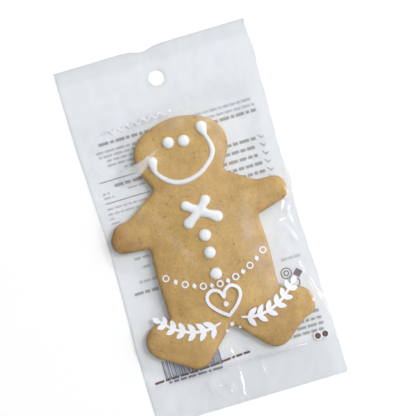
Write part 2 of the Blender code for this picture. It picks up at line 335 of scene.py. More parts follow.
# Creases pinched into the front film: how steep they are, their half-width, and the points
# they run through. The height follows from the first two.
CREASES = (
    # beside the right hand and flank
    (0.80, 1.5, ((42.0, 0.2), (40.9, -2.4), (39.6, -5.6))),
    (1.02, 1.8, ((34.8, -13.4), (36.4, -10.4), (38.6, -8.9), (41.0, -8.4), (42.6, -7.0), (43.6, -3.0))),
    (1.05, 1.9, ((36.0, -11.4), (38.8, -12.6), (40.6, -15.4), (41.9, -19.0), (44.0, -24.4))),
    (0.88, 1.5, ((42.8, -6.5), (43.1, -10.5), (43.4, -16.0))),
    (1.05, 1.4, ((40.9, -31.0), (41.2, -34.5), (42.0, -38.6))),
    (0.74, 2.0, ((41.6, -37.4), (42.8, -42.0), (43.8, -47.0), (46.6, -53.0))),
    (0.78, 1.2, ((44.2, 5.4), (44.5, 2.4), (42.6, 0.2))),
    (0.80, 1.2, ((40.4, -46.6), (41.6, -49.6), (41.9, -53.4))),
    # the left edge
    (1.35, 1.3, ((-49.2, 34.8), (-48.0, 29.5), (-48.3, 22.0), (-47.2, 15.0), (-46.4, 9.0))),
    (1.60, 1.3, ((-46.6, 10.4), (-43.6, 13.6), (-40.4, 16.0))),
    (1.50, 1.2, ((-44.0, 42.4), (-42.3, 39.8), (-40.7, 36.0))),
    (1.50, 1.2, ((-41.0, 42.6), (-39.7, 39.6), (-38.4, 36.8))),
    (0.50, 1.9, ((-48.2, -35.8), (-42.0, -37.2), (-35.4, -40.2))),
    (1.18, 1.8, ((-46.8, -40.0), (-46.0, -44.0), (-46.4, -48.5))),
    # the shoulders of the pouch
    (0.1125, 4.0, ((-40.0, 65.5), (-31.0, 63.0), (-20.0, 59.5))),
    (0.118, 3.4, ((-39.0, 59.8), (-33.0, 57.8), (-26.0, 55.2))),
    # above the bottom seal and in it
    (0.229, 2.4, ((-48.0, -74.4), (-26.0, -73.8), (0.0, -72.8), (24.0, -72.2), (49.0, -72.0))),
    (1.60, 1.2, ((-19.0, -77.0), (-18.7, -81.6), (-16.4, -86.6))),
    (1.65, 1.2, ((-16.9, -78.0), (-16.2, -82.4), (-12.6, -88.8))),
    (1.65, 1.2, ((-14.8, -77.6), (-14.4, -81.4), (-11.8, -85.8))),
    (1.60, 1.2, ((-12.4, -77.4), (-10.2, -80.4), (-7.8, -84.4))),
    (1.45, 1.2, ((-11.0, -87.0), (-8.8, -82.6), (-6.2, -80.8), (-5.2, -77.6))),
    (1.12, 1.9, ((-2.9, -74.0), (-3.5, -81.0), (-3.9, -88.4))),
    (1.50, 1.2, ((-6.9, -93.0), (-4.6, -87.4), (-1.4, -93.0))),
    (1.45, 1.2, ((8.0, -76.2), (9.4, -80.6))),
    (1.02, 1.3, ((-4.8, -63.2), (-4.0, -65.4), (-3.6, -67.6))),
    (1.12, 1.1, ((-1.9, -62.6), (-1.2, -64.4), (-1.0, -67.0))),
)


def crease_rise(x, y):
    """How far the pinched creases lift the film: sharp crests that die away at both ends."""
    total = np.zeros(x.shape)
    for steepness, half_width, points in CREASES:
        height = round(steepness * half_width, CREASE_DIGITS)
        line = smooth_line(points, CREASE_STEP)
        low, high = line.min(axis=0) - half_width, line.max(axis=0) + half_width
        box = (x > low[0]) & (x < high[0]) & (y > low[1]) & (y < high[1])
        near = np.full(x[box].shape, np.inf)
        share = np.zeros(x[box].shape)
        for i, (start, end) in enumerate(zip(line, line[1:])):
            part, away = along_segment(x[box], y[box], start, end)
            closer = away < near
            near = np.where(closer, away, near)
            share = np.where(closer, (i + part) / (len(line) - 1), share)
        crest = height * np.clip(1.0 - near / half_width, 0.0, 1.0) ** CREST_SHARPNESS
        total[box] += crest * np.clip(4.0 * share * (1.0 - share), 0.0, 1.0) ** CREASE_FADING
    return total


class Skin:
    """The front film's height over the bag, on a square grid."""

    def __init__(self, half_width, half_length, outline, top_limit):
        self.xs = np.arange(-half_width - 1.0, half_width + 1.0 + FILM_GRID / 2, FILM_GRID)
        self.ys = np.arange(-half_length - 1.0, half_length + 1.0 + FILM_GRID / 2, FILM_GRID)
        x, y = np.meshgrid(self.xs, self.ys)
        depth = depth_inside(outline, x, y)
        inside = depth > 0.0
        rests = biscuit_height(depth, x, y) + icing_rise(sum(ICING.values(), ()), x, y)
        rests = np.where(inside, rests + FILM_CLEARANCE, FRONT_REST_Z)
        sealed = (
            (np.abs(x) > half_width - SIDE_SEAL)
            | (y > half_length - HEADER_LENGTH)
            | (y < -half_length + BOTTOM_SEAL_LENGTH)
        )
        height = np.where(inside, rests, np.where(sealed, SEALED_Z, FRONT_REST_Z))
        pull = np.where(inside, PUFF_OVER_BISCUIT, -CLING_BESIDE_IT) * FILM_GRID**2 / 4.0
        row, column = np.indices(x.shape)
        for sweep in range(2 * RELAX_SWEEPS):
            around = sum(np.roll(height, s, axis=a) for s in (1, -1) for a in (0, 1)) / 4.0
            pulled = height + OVER_RELAX * (around + pull - height)
            moved = np.where(sealed, SEALED_Z, np.maximum(pulled, rests))
            height = np.where((row + column) % 2 == sweep % 2, moved, height)
        height = self.stiff(height, OUTER_SLOPE)
        height = height + (self.stiff(height, ICING_SLOPE) - height) * fade(depth, 0.0, 4.0)
        height = np.where(sealed, SEALED_Z, height)
        pleat = CHEEK_FOLD_TOP - CHEEK_FOLD_SLOPE * (CHEEK_FOLD_START - x)
        pleated = fade(depth_inside(np.array(CHEEK_FOLD), x, y), *CHEEK_FOLD_STEP)
        pleated *= fade(CHEEK_FOLD_START - x, 0.0, 2.0)
        height = height + np.maximum(pleat - height, 0.0) * pleated
        tent = TENT_HEIGHT * np.exp(-blob(x, y, *TENT)) * fade(depth, -3.0, 6.0)
        slack = fade(-depth, 1.0, 8.0) * np.where(sealed, SEALED_SWELL, 1.0)
        height = height + tent + crease_rise(x, y) + swells(x, y, FILM_SWELLS) * slack
        lowest = np.where(inside, rests, BACK_PRINT_Z + 2 * INK)
        self.height = np.minimum(np.maximum(height, lowest), top_limit)

    @staticmethod
    def stiff(height, slope):
        """The same surface, held up where it would fall more steeply than a slope."""
        for _ in range(STIFF_REACH):
            for across in (-1, 0, 1):
                for up in (-1, 0, 1):
                    fall = slope * FILM_GRID * math.hypot(across, up)
                    height = np.maximum(height, np.roll(height, (up, across), axis=(0, 1)) - fall)
        for _ in range(3):
            height = sum(np.roll(height, s, axis=a) for s in (1, 0, -1) for a in (0, 1)) / 6.0
        return height

    def at(self, x, y):
        """The height at some points, between the four nearest places on the grid."""
        across = np.clip((x - self.xs[0]) / FILM_GRID, 0.0, len(self.xs) - 1.001)
        up = np.clip((y - self.ys[0]) / FILM_GRID, 0.0, len(self.ys) - 1.001)
        i, j = across.astype(int), up.astype(int)
        s, t = across - i, up - j
        h = self.height
        low = h[j, i] * (1 - s) + h[j, i + 1] * s
        high = h[j + 1, i] * (1 - s) + h[j + 1, i + 1] * s
        return low * (1 - t) + high * t


# ---- meshes


def add_piece(name, points, faces, material, slot, smooth=True):
    """Makes a mesh object from points in millimetres, and hangs it on the frame."""
    mesh = bpy.data.meshes.new(name)
    mesh.from_pydata((np.asarray(points) * MM).tolist(), [], faces)
    mesh.validate()
    mesh.materials.append(material)
    if smooth:
        mesh.shade_smooth()
    piece = bpy.data.objects.new(name, mesh)
    bpy.context.scene.collection.objects.link(piece)
    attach(piece, "root")
    return piece


def thin_solid(flat, faces, upper, lower):
    """Points and faces of a closed sheet between two heights over the same flat mesh."""
    count = len(flat)
    points = np.vstack([np.column_stack([flat, upper]), np.column_stack([flat, lower])])
    edges = dict.fromkeys(edge for face in faces for edge in zip(face, (*face[1:], face[0])))
    walls = [(a, a + count, b + count, b) for a, b in edges if (b, a) not in edges]
    under = [tuple(i + count for i in reversed(face)) for face in faces]
    return points, [tuple(face) for face in faces] + under + walls


def triangulated(rim, inner, gap):
    """A flat mesh inside a closed line, through some inner points that keep a gap to it."""
    inner = inner[depth_inside(rim, inner[:, 0], inner[:, 1]) > gap]
    points = [tuple(p) for p in np.vstack([rim, inner])]
    flat, _, faces, _, _, _ = delaunay_2d_cdt(points, [], [list(range(len(rim)))], 1, 1e-5)
    return np.array([tuple(p) for p in flat]), [tuple(face) for face in faces]


def build_biscuit(outline, material):
    """The baked biscuit: an uneven rolled top, round shoulders and a flat underside."""
    x0, y0 = outline.min(axis=0)
    x1, y1 = outline.max(axis=0)
    across, up = np.meshgrid(np.arange(x0, x1, TOP_STEP), np.arange(y0, y1, TOP_STEP))
    across = across + np.where(np.indices(up.shape)[0] % 2 == 1, TOP_STEP / 2, 0.0)
    inner = np.stack([across.ravel(), up.ravel()], axis=1)
    top, faces = triangulated(offset(outline, EDGE_RINGS[-1][0]), inner, RIM_GAP)
    count = len(outline)
    depth = depth_inside(outline, top[:, 0], top[:, 1])
    points = [np.column_stack([top, biscuit_height(depth, top[:, 0], top[:, 1])])]
    for by, rise in reversed(EDGE_RINGS[:-1]):
        ring = offset(outline, by)
        if rise is None:
            z = biscuit_height(np.full(count, -by), ring[:, 0], ring[:, 1])
        else:
            z = np.full(count, BISCUIT_UNDERSIDE + rise)
        points.append(np.column_stack([ring, z]))
    starts = [0] + [len(top) + k * count for k in range(len(EDGE_RINGS) - 1)]
    for above, below in zip(starts, starts[1:]):
        for i in range(count):
            j = (i + 1) % count
            faces.append((above + j, above + i, below + i, below + j))
    faces.append(tuple(reversed(range(starts[-1], starts[-1] + count))))
    return add_piece("biscuit", np.vstack(points), faces, material, "biscuit")


def build_icing(name, chains, outline, material):
    """Beads of icing that run along chains of drops and melt into each other."""
    made = bmesh.new()
    for chain in chains:
        drops = smooth_line(chain, DROP_STEP) if len(chain) > 1 else np.array(chain)
        for x, y, radius in drops:
            at = np.array([x]), np.array([y])
            top = float(biscuit_height(depth_inside(outline, *at), *at)[0])
            height = (ICING_HEIGHT + ICING_SINK) * min(1.0, radius / TALL_BEAD)
            drop = bmesh.ops.create_icosphere(made, subdivisions=3, radius=1.0)["verts"]
            for v in drop:
                rise = math.copysign(dome(min(1.0, math.hypot(v.co.x, v.co.y))), v.co.z)
                v.co = (x + radius * v.co.x, y + radius * v.co.y, top - ICING_SINK + height * rise)
    mesh = bpy.data.meshes.new(name)
    made.to_mesh(mesh)
    made.free()
    mesh.materials.append(material)
    mesh.transform(((MM, 0, 0, 0), (0, MM, 0, 0), (0, 0, MM, 0), (0, 0, 0, 1)))
    piece = bpy.data.objects.new(name, mesh)
    bpy.context.scene.collection.objects.link(piece)
    melt = piece.modifiers.new("melt", "REMESH")
    melt.mode = "VOXEL"
    melt.voxel_size = MELT_GRID * MM
    melt.use_smooth_shade = True
    soften = piece.modifiers.new("soften", "SMOOTH")
    soften.iterations = SOFTEN_TIMES
    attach(piece, "root")
    return piece


class BagShape:
    """The bag's outline from above, and the flat grid of its plies."""

    def __init__(self, half_width, half_length):
        self.half_width, self.half_length = half_width, half_length
        self.hole = (HOLE_X, half_length - HOLE_BELOW_TOP)

    def place(self, u, v):
        """Where a point of the plain rectangle lies in the real outline."""
        waist = SIDE_WAIST * (1.0 - np.clip(v / WAIST_REACH, -1.0, 1.0) ** 2) ** 2
        bulge = sum(size * np.exp(-(((v - y) / reach) ** 2)) for size, y, reach in SIDE_BULGES)
        side = u / self.half_width
        x = u - waist * side + bulge * np.clip(side, 0.0, 1.0) ** 8
        dip = TOP_DIP * np.exp(-(((x - TOP_DIP_X) / TOP_DIP_WIDTH) ** 2))
        return x, v - dip * fade(v, self.half_length - TOP_DIP_FADE, self.half_length)

    def ply(self, us, vs):
        """A flat mesh of one ply over these columns and rows, with the hang hole."""
        u, v = np.meshgrid(us, vs)
        x, y = self.place(u, v)
        flat = np.stack([x.ravel(), y.ravel()], axis=1)
        columns = len(us)
        corner = np.arange(len(flat)).reshape(u.shape)[:-1, :-1].ravel()
        quads = np.stack([corner, corner + 1, corner + columns + 1, corner + columns], axis=1)
        step = max(np.diff(us).max(), np.diff(vs).max())
        middle = flat[quads].mean(axis=1) - self.hole
        quads = quads[np.hypot(*middle.T) > HOLE_RADIUS + step * 0.2]
        used, quads = np.unique(quads, return_inverse=True)
        flat = flat[used]
        away = flat - self.hole
        distance = np.hypot(*away.T)
        on_a_rim = np.bincount(quads.ravel()) < 4
        near = on_a_rim & (distance < HOLE_RADIUS + 2 * step)
        flat[near] = self.hole + away[near] / distance[near, None] * HOLE_RADIUS
        return flat, [tuple(quad) for quad in quads.reshape(-1, 4).tolist()]


def spaced(start, zones):
    """Places from start on, in zones that each have an end and a step."""
    places = [start]
    for end, step in zones:
        count = max(1, round((end - places[-1]) / step))
        places.extend(np.linspace(places[-1], end, count + 1)[1:])
    return np.array(places)


def build_film(shape, skin, front_material, back_material, fin_material):
    """The front ply, the back ply and the fin seal that lies flat behind it."""
    low_x, low_y = -shape.half_width, -shape.half_length
    flat, quads = shape.ply(spaced(low_x, FILM_COLUMNS), spaced(low_y, FILM_ROWS))
    upper = skin.at(flat[:, 0], flat[:, 1])
    front = add_piece(
        "film_front", *thin_solid(flat, quads, upper, upper - FILM), front_material, "clear_film"
    )
    rows = spaced(low_y, ((-low_y, PLAIN_STEP),))
    spans = (
        ("film_back", (low_x, -low_x), BACK_Z, back_material),
        ("film_fin_seal", FIN_SEAL_SPAN, FIN_SEAL_Z, fin_material),
    )
    for name, (left, right), z, material in spans:
        flat, quads = shape.ply(spaced(left, ((right, PLAIN_STEP),)), rows)
        upper = np.full(len(flat), z + FILM)
        points, faces = thin_solid(flat, quads, upper, upper - FILM)
        add_piece(name, points, faces, material, "clear_film")
    return front


# ---- print

# White ink on the front: a heart between two leafy sprigs, as strokes of x, y and half-width.
HALF_HEART = (
    (0.5, -47.8, 0.85),
    (-4.4, -43.8, 0.8),
    (-7.6, -39.4, 0.8),
    (-7.4, -35.6, 0.85),
    (-4.2, -33.6, 0.85),
    (-0.8, -35.2, 0.8),
    (0.5, -38.2, 0.8),
)
SPRIG_STEM = (
    (6.2, -50.2, 0.5),
    (12.0, -51.6, 0.75),
    (20.0, -50.8, 0.75),
    (28.0, -47.2, 0.7),
    (34.5, -41.7, 0.5),
)
SPRIG_LEAVES = 6
LEAF_LENGTH = (6.4, 4.2)  # of the first pair and the last
LEAF_HALF_WIDTH = 1.35
LEAF_SPREAD = math.radians(48.0)
PRINT_MIRROR_X = 0.5
GARLAND_COUNT = 13
GARLAND_HALF_SPAN = 25.0
GARLAND_ENDS_Y = -21.5
GARLAND_SAG = 9.9
FRONT_DOTS = ((0.5, -41.8, 1.3), (0.5, -52.4, 1.1), (-2.8, -55.0, 0.7), (3.8, -55.0, 0.7))
RIPPLE_X = (-33.0, -1.0)
RIPPLE_Y = 57.0
RIPPLE_CLIMB = 0.04
RIPPLE_WAVE = (1.1, 4.6)  # its height and length
RIPPLE_ENDS = ((-34.6, 56.4, 0.7), (0.9, 57.8, 0.7))
BADGE_DISCS = ((39.8, -70.8, 1.55), (43.6, -70.8, 1.55))
MARK_RINGS = ((33.6, -36.4, 2.6), (33.6, -36.4, 1.2), (36.8, -42.0, 2.2))
MARK_SQUARE = (39.2, -37.6, 2.5)
INK_GRID = 0.28
MARK_GRID = 0.2
INK_LIFT = 0.012
OFF_PRINT = -9.0  # a field's value far from any stroke
WORD_WIDTHS = (1.2, 5.2)
WORD_GAP = 0.9
BAR_SHARE = 0.74  # how much of a line's height its bars fill


def mirrored(stroke):
    """The same stroke on the other side of the heart."""
    return tuple((2 * PRINT_MIRROR_X - x, y, radius) for x, y, radius in stroke)


def sprig():
    """A stem with leaves in pairs along it and one at its tip."""
    stem = smooth_line(SPRIG_STEM, 0.5)
    strokes = [SPRIG_STEM]
    for k in range(SPRIG_LEAVES):
        share = (k + 0.6) / SPRIG_LEAVES
        at = int(share * (len(stem) - 2))
        heading = math.atan2(stem[at + 1][1] - stem[at][1], stem[at + 1][0] - stem[at][0])
        length = LEAF_LENGTH[0] + share * (LEAF_LENGTH[1] - LEAF_LENGTH[0])
        for side in (-1, 1):
            strokes.append(leaf(stem[at][:2], heading + side * LEAF_SPREAD, length))
    strokes.append(leaf(stem[-1][:2], heading, LEAF_LENGTH[1]))
    return strokes


def leaf(base, heading, length):
    """A leaf as a stroke that swells in its middle."""
    dx, dy = math.cos(heading), math.sin(heading)
    widths = ((0.0, 0.3), (0.45, 1.0), (0.75, 0.75), (1.0, 0.15))
    return [
        (base[0] + t * length * dx, base[1] + t * length * dy, LEAF_HALF_WIDTH * width)
        for t, width in widths
    ]


def stroke_field(x, y, strokes):
    """How far each point lies inside the strokes, negative outside them."""
    field = np.full(x.shape, OFF_PRINT)
    for stroke in strokes:
        line = smooth_line(stroke, 0.7) if len(stroke) > 1 else np.array(stroke)
        for start, end in zip(line, line[1:] if len(line) > 1 else line):
            reach = max(start[2], end[2]) + 1.0
            low, high = np.minimum(start, end) - reach, np.maximum(start, end) + reach
            rows = (y[:, 0] > low[1]) & (y[:, 0] < high[1])
            part = np.ix_(rows, (x[0] > low[0]) & (x[0] < high[0]))
            share, away = along_segment(x[part], y[part], start, end)
            field[part] = np.maximum(field[part], start[2] + share * (end[2] - start[2]) - away)
    return field


def garland_field(x, y):
    """A hanging row of rings and diamonds over the biscuit's belly."""
    field = np.full(x.shape, OFF_PRINT)
    for k in range(GARLAND_COUNT):
        along = 2.0 * k / (GARLAND_COUNT - 1) - 1.0
        cx = PRINT_MIRROR_X + along * GARLAND_HALF_SPAN
        cy = GARLAND_ENDS_Y - GARLAND_SAG * (1.0 - along**2)
        diamond = 1.25 - (np.abs(x - cx) + np.abs(y - cy) * 0.8)
        field = np.maximum(field, diamond if k % 2 else ring_field(x, y, cx, cy, 1.45, 0.36))
    return field


def ring_field(x, y, cx, cy, radius, half_width):
    """How far each point lies inside a ring's line."""
    return half_width - np.abs(np.hypot(x - cx, y - cy) - radius)


def inside_cells(field, xs, ys):
    """A flat mesh of where a field on a grid is above zero, its rim cut through the cells."""
    points, index, faces = [], {}, []

    def point(key, place):
        if key not in index:
            index[key] = len(points)
            points.append(place)
        return index[key]

    on = field > 0.0
    some = on[:-1, :-1] | on[1:, :-1] | on[:-1, 1:] | on[1:, 1:]
    for j, i in np.argwhere(some).tolist():
        corners = ((j, i), (j, i + 1), (j + 1, i + 1), (j + 1, i))
        face = []
        for a, b in zip(corners, corners[1:] + corners[:1]):
            if on[a]:
                face.append(point(a, (xs[a[1]], ys[a[0]])))
            if on[a] != on[b]:
                (j0, i0), (j1, i1) = low, high = min(a, b), max(a, b)
                share = min(max(field[low] / (field[low] - field[high]), 0.08), 0.92)
                place = (xs[i0] + share * (xs[i1] - xs[i0]), ys[j0] + share * (ys[j1] - ys[j0]))
                face.append(point((low, high), place))
        faces.append(tuple(face))
    return np.array(points), faces


def print_field(name, field_of, box, step, height_at, material, smooth=True):
    """A layer of ink on a surface, wherever a field is above zero in a box."""
    x0, y0, x1, y1 = box
    xs, ys = np.arange(x0, x1, step), np.arange(y0, y1, step)
    flat, faces = inside_cells(field_of(*np.meshgrid(xs, ys)), xs, ys)
    lower = height_at(flat[:, 0], flat[:, 1])
    add_piece(name, *thin_solid(flat, faces, lower + INK, lower), material, "print", smooth)


def front_white_field(x, y):
    """The white ink: the heart, the sprigs, the dots and the garland."""
    heart = (*HALF_HEART, *mirrored(HALF_HEART[-2::-1]))
    strokes = [heart, *sprig(), *(mirrored(stroke) for stroke in sprig())]
    strokes += [(dot,) for dot in FRONT_DOTS]
    return np.maximum(stroke_field(x, y, strokes), garland_field(x, y))


def top_ripple_field(x, y):
    """A thin white ripple over the head, with a drop at each end."""
    along = np.linspace(*RIPPLE_X, 90)
    height, length = RIPPLE_WAVE
    wave = height * np.sin((along - RIPPLE_X[0]) * math.tau / length)
    wave += RIPPLE_Y + RIPPLE_CLIMB * (along - sum(RIPPLE_X) / 2)
    ripple = [(a, b, 0.34) for a, b in zip(along, wave)]
    return stroke_field(x, y, [ripple, *((end,) for end in RIPPLE_ENDS)])


def corners_of(x0, y0, x1, y1):
    """A box's corners, anticlockwise."""
    return (x0, y0), (x1, y0), (x1, y1), (x0, y1)


def word_bars(draw, left, right, y, height):
    """Plain bars that stand for a line of small print between two places."""
    bars = []
    x = left
    half_height = height * BAR_SHARE / 2
    while x < right - WORD_GAP:
        width = min(draw.uniform(*WORD_WIDTHS), right - x)
        bars.append(corners_of(x, y - half_height, x + width, y + half_height))
        x += width + WORD_GAP
    return bars


def build_bars(name, bars, material, height_at):
    """Flat bars of ink on a surface, each given by its corners."""
    flat = np.array(bars).reshape(-1, 2)
    faces = [(k, k + 1, k + 2, k + 3) for k in range(0, len(flat), 4)]
    lower = height_at(flat[:, 0], flat[:, 1])
    add_piece(name, *thin_solid(flat, faces, lower + INK, lower), material, "print", False)


# Lines of small print on the back, seen through the bag: left, right, y and height.
BACK_LINES = (
    (-40.5, -14.0, 47.6, 1.6),
    (-39.5, -16.0, 45.2, 1.6),
    (-36.0, -18.0, 42.8, 1.5),
    (-36.5, -19.0, 40.4, 1.5),
    (-28.6, -21.0, 37.8, 1.5),
    (-43.0, -39.4, 27.2, 1.2),
    (-43.0, -37.6, 25.0, 1.2),
    (-30.0, -21.0, 27.0, 1.2),
    (-43.0, -22.0, 19.4, 1.2),
    (-43.0, -26.0, 16.8, 1.1),
    (-43.0, -39.6, 14.4, 1.1),
    (-43.0, -38.6, 12.0, 1.2),
    (-37.0, -29.0, -8.2, 1.7),
    (-34.0, -28.0, -13.0, 1.7),
    (-38.0, -28.0, -20.0, 1.6),
    (11.0, 42.4, 52.4, 1.7),
    (13.0, 42.4, 49.4, 1.6),
    (33.0, 43.4, -29.5, 1.7),
)
BACK_HEADINGS = (
    (-38.0, -12.0, 51.5, 2.1),
    (-36.0, -21.0, 30.0, 2.1),
    (-42.0, -28.0, -25.2, 2.0),
    (13.0, 42.4, 46.4, 2.1),
    (18.0, 38.2, 32.8, 2.1),
    (18.0, 38.2, 28.6, 2.1),
    (16.0, 38.0, 24.3, 2.1),
    (20.0, 38.0, 20.1, 2.1),
    (24.0, 38.2, 15.9, 2.1),
    (37.0, 44.0, -58.4, 2.1),
    (28.0, 44.2, -62.0, 1.8),
    (25.0, 44.4, -65.0, 1.8),
    (24.0, 44.6, -67.9, 1.8),
)
RULES = ((-43.0, 32.9, -18.0, 33.45), (-43.0, 22.1, -20.0, 22.6))
TICK_ROWS = (33.0, 28.8, 24.5, 20.2, 16.0, 12.2)
TICK_X = 41.2
TICK_HALF_WIDTH = 0.22
STRIPES = (-39.0, -61.0, -10.0, -70.6)  # left, top, right and foot
STRIPE_WIDTHS = (0.3, 0.3, 0.6, 0.9)
STRIPE_GAPS = (0.3, 0.3, 0.6)
FRONT_LINE = ((-44.8, -70.8), (6.2, -68.5), 1.5)


def thin_bar(start, end, half_width):
    """The corners of a bar from one point to another."""
    (ax, ay), (bx, by) = start, end
    length = math.hypot(bx - ax, by - ay)
    sx, sy = -(by - ay) / length * half_width, (bx - ax) / length * half_width
    return ((ax - sx, ay - sy), (bx - sx, by - sy), (bx + sx, by + sy), (ax + sx, ay + sy))


def back_text_bars():
    """The grey small print."""
    draw = np.random.default_rng(SEED)
    return [bar for line in BACK_LINES for bar in word_bars(draw, *line)]


def back_heading_bars():
    """The bolder lines, the rules and the ticks."""
    draw = np.random.default_rng(SEED + 3)
    bars = [bar for line in BACK_HEADINGS for bar in word_bars(draw, *line)]
    bars += [corners_of(*rule) for rule in RULES]
    for y in TICK_ROWS:
        low = (TICK_X, y - 0.9)
        bars.append(thin_bar((TICK_X + 1.2, y + 0.1), low, TICK_HALF_WIDTH))
        bars.append(thin_bar(low, (TICK_X - 1.6, y + 1.2), TICK_HALF_WIDTH))
    return bars


def stripe_bars():
    """A block of upright stripes of uneven width."""
    draw = np.random.default_rng(SEED + 1)
    left, top, right, foot = STRIPES
    bars = []
    x = left
    while x < right:
        width = draw.choice(STRIPE_WIDTHS)
        bars.append(corners_of(x, foot, x + width, top))
        x += width + draw.choice(STRIPE_GAPS)
    return bars + word_bars(draw, left + 1.0, right, foot - 1.6, 1.5)


def front_line_bars():
    """The small dark line along the bag's foot, which climbs a little."""
    (ax, ay), (bx, by), height = FRONT_LINE
    draw = np.random.default_rng(SEED + 2)
    slope = (by - ay) / (bx - ax)
    bars = word_bars(draw, ax, bx, ay, height)
    return [[(x, y + slope * (x - ax)) for x, y in bar] for bar in bars]


def badge_field(x, y):
    """A small badge by the bag's foot: two discs side by side."""
    return stroke_field(x, y, [(disc,) for disc in BADGE_DISCS])


def badge_rim_field(x, y):
    """The badge's pale rim."""
    return 0.28 - np.abs(badge_field(x, y) + 0.30)


def mark_field(x, y):
    """A plain mark on the back: two rings, and a square turned on its corner."""
    cx, cy, reach = MARK_SQUARE
    square = reach - np.abs(x - cx) - np.abs(y - cy)
    return np.maximum.reduce([square, *(ring_field(x, y, *ring, 0.26) for ring in MARK_RINGS)])


def build_print(skin):
    """Everything printed on the bag."""
    white = ink_material("ink_white", (226, 226, 233))
    brown = ink_material("ink_brown", (100, 84, 76))
    grey = ink_material("ink_grey", (186, 187, 192))
    dark = ink_material("ink_dark_grey", (160, 159, 160))
    blue = ink_material("ink_slate", (124, 129, 150))
    plum = ink_material("ink_plum", (112, 92, 98))

    def on_front(x, y):
        return skin.at(x, y) + INK_LIFT

    def on_back(x, y):
        return np.full(np.shape(x), BACK_PRINT_Z)

    for name, field_of, box, ink in (
        ("print_front_sprigs", front_white_field, (-42, -62, 43, -18), white),
        ("print_front_ripple", top_ripple_field, (-37, 53, 3, 61), white),
        ("print_front_badge", badge_field, (36, -74, 47, -67), brown),
        ("print_front_badge_rim", badge_rim_field, (36, -74, 47, -67), white),
    ):
        print_field(name, field_of, box, INK_GRID, on_front, ink)
    build_bars("print_front_line", front_line_bars(), brown, on_front)
    build_bars("print_back_text", back_text_bars(), grey, on_back)
    build_bars("print_back_headings", back_heading_bars(), dark, on_back)
    build_bars("print_back_stripes", stripe_bars(), blue, on_back)
    print_field("print_back_mark", mark_field, (30, -46, 44, -32), MARK_GRID, on_back, plum, False)


# ---- materials


class Nodes:
    """Short names for building the nodes of a material or a world."""

    def __init__(self, owner):
        owner.use_nodes = True
        self.owner = owner
        self.tree = owner.node_tree
        self.shader = self.tree.nodes.get("Principled BSDF") or self.tree.nodes["Background"]

    def add(self, kind, inputs=None, **settings):
        """A node with its settings, and its inputs as values or as sockets to link."""
        node = self.tree.nodes.new("ShaderNode" + kind)
        for key, value in settings.items():
            setattr(node, key, value)
        for key, value in (inputs or {}).items():
            self.put(node.inputs[key], value)
        return node

    def put(self, socket, value):
        """Links a socket to another, or sets its value."""
        if isinstance(value, bpy.types.NodeSocket):
            self.tree.links.new(value, socket)
        else:
            socket.default_value = value

    def surface(self, **inputs):
        """Links or sets inputs of the main shader, by names such as base_color."""
        for key, value in inputs.items():
            self.put(self.shader.inputs[key.replace("_", " ").title().replace("Ior", "IOR")], value)

    def mark(self, name):
        """A share that the mesh keeps for each of its points."""
        return self.add("Attribute", attribute_name=name).outputs["Fac"]

    def place(self):
        """The object's own coordinates, which stay with it."""
        return self.add("TexCoord").outputs["Object"]

    def noise(self, size_mm, detail=3.0, roughness=0.5):
        """A noise pattern with features of about this size."""
        inputs = {"Vector": self.place(), "Scale": 1.0 / (size_mm * MM), "Detail": detail}
        return self.add("TexNoise", {**inputs, "Roughness": roughness}).outputs["Fac"]

    def cells(self, vector, size_mm, **settings):
        """A pattern of uneven cells of about this size, as the node's outputs."""
        inputs = {"Vector": vector, "Scale": 1.0 / (size_mm * MM), "Randomness": 1.0}
        return self.add("TexVoronoi", inputs, **settings).outputs

    def ramp(self, value, *stops):
        """A colour ramp through stops of position and colour."""
        node = self.add("ValToRGB", {"Fac": value})
        elements = node.color_ramp.elements
        while len(elements) < len(stops):
            elements.new(0.5)
        for element, (position, colour) in zip(elements, stops):
            element.position = position
            element.color = (*colour, 1.0)
        return node.outputs["Color"]

    def mix(self, share, first, second, blend="MIX"):
        """A mix of two colours."""
        node = self.add("Mix", data_type="RGBA", blend_type=blend)
        self.put(node.inputs[0], share)
        for k, colour in ((6, first), (7, second)):
            self.put(node.inputs[k], (*colour, 1.0) if isinstance(colour, tuple) else colour)
        return node.outputs[2]

    def maths(self, operation, first, second=0.0, clamp=False):
        """A sum on two numbers."""
        node = self.add("Math", {0: first, 1: second}, operation=operation, use_clamp=clamp)
        return node.outputs[0]

    def scatter(self, weight, reach, scale_mm):
        """Light that soaks in: its share, and how far each of red, green and blue travels."""
        self.surface(subsurface_weight=weight, subsurface_radius=reach, subsurface_scale=scale_mm * MM)

    def bump(self, height, strength, distance_mm):
        """A bump as deep as distance_mm where the height pattern goes from 0 to 1."""
        inputs = {"Height": height, "Strength": strength, "Distance": distance_mm * MM}
        return self.add("Bump", inputs).outputs["Normal"]


def material_nodes(name):
    """The nodes of a new material."""
    return Nodes(bpy.data.materials.new(name))


def linear(red, green, blue):
    """A screen colour of 0 to 255 as the linear colour that a shader takes."""
    shares = (c / 255.0 for c in (red, green, blue))
    return tuple(c / 12.92 if c <= 0.04045 else ((c + 0.055) / 1.055) ** 2.4 for c in shares)


# The dough's grain, coarse to fine: its size, how dark it gets and its share.
GRAIN = ((2.6, 0.86, 0.42), (1.1, 0.74, 0.52), (0.5, 0.72, 0.46))
# Its specks: the spacing of their grid, how many cells hold one, reach, colour and seed.
SPECKS = (
    (2.9, 0.42, 0.19, (124, 86, 38), 0.0),
    (1.7, 0.30, 0.17, (132, 92, 42), 40.0),
    (5.2, 0.42, 0.09, (96, 66, 32), 90.0),
)
DOUGH_TONES = ((0.36, (203, 166, 94)), (0.50, (212, 175, 104)), (0.66, (220, 184, 116)))
# The tint that browning and painted shade multiply the dough by
BROWN_AND_SHADE_TINT = (0.59, 0.45, 0.28)


